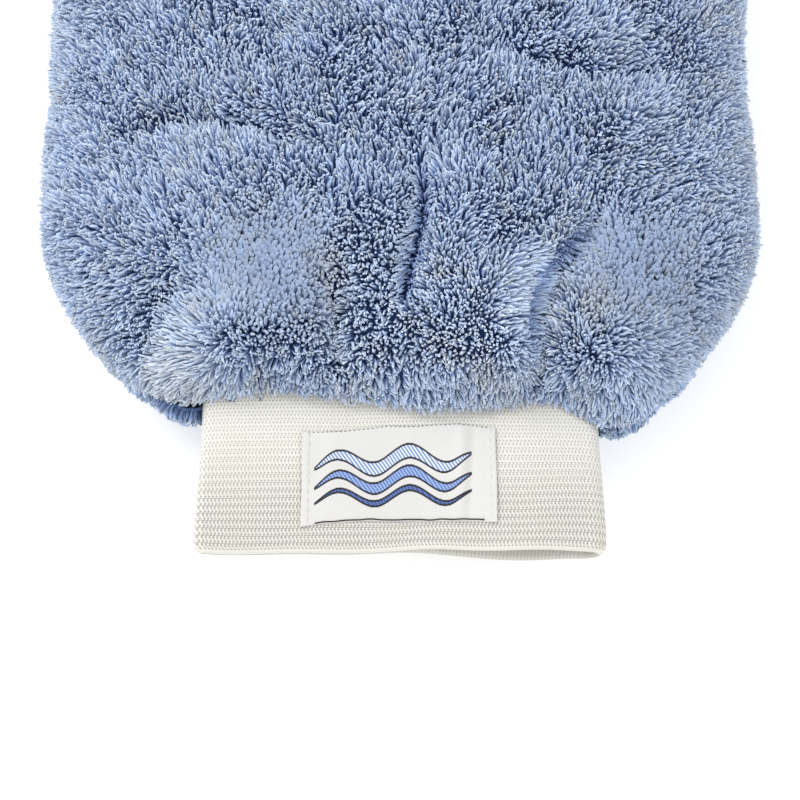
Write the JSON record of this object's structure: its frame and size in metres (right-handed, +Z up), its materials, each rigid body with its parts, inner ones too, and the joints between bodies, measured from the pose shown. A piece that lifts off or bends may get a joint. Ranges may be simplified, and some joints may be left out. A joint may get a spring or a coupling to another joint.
{
  "type": "wash mitt",
  "caption": "Plush wash mitt with a lined hand pocket, a knitted elastic wrist cuff and a blank woven label on the cuff.",
  "frame": {"origin": "on the ground under the middle of the mitt's box: the middle of its length and width, at its lowest point", "axes": "+Z up, away from the ground; +Y from the cuff mouth to the closed end; +X to the right with the cuff towards the viewer and the label on top"},
  "size_m": [0.186, 0.258, 0.054],
  "materials": {
    "plush_pile": "matte",
    "blue_thread": "matte",
    "lining_cloth": "matte",
    "white_thread": "satin",
    "knitted_elastic": "matte",
    "strand_rubber": "matte",
    "label_satin": "satin",
    "dark_thread": "satin"
  },
  "bodies": {
    "root": {"top_plush_panel": "plush_pile", "bottom_plush_panel": "plush_pile", "plush_seam_thread": "blue_thread", "top_lining": "lining_cloth", "bottom_lining": "lining_cloth", "lining_seam_thread": "white_thread", "cuff_elastic_band": "knitted_elastic", "cuff_rubber_strands": "strand_rubber", "cuff_lap_thread": "white_thread", "cuff_seam_thread": "white_thread", "woven_label": "label_satin", "label_end_stitches": "white_thread", "label_edge_thread": "dark_thread"}
  },
  "joints": []
}
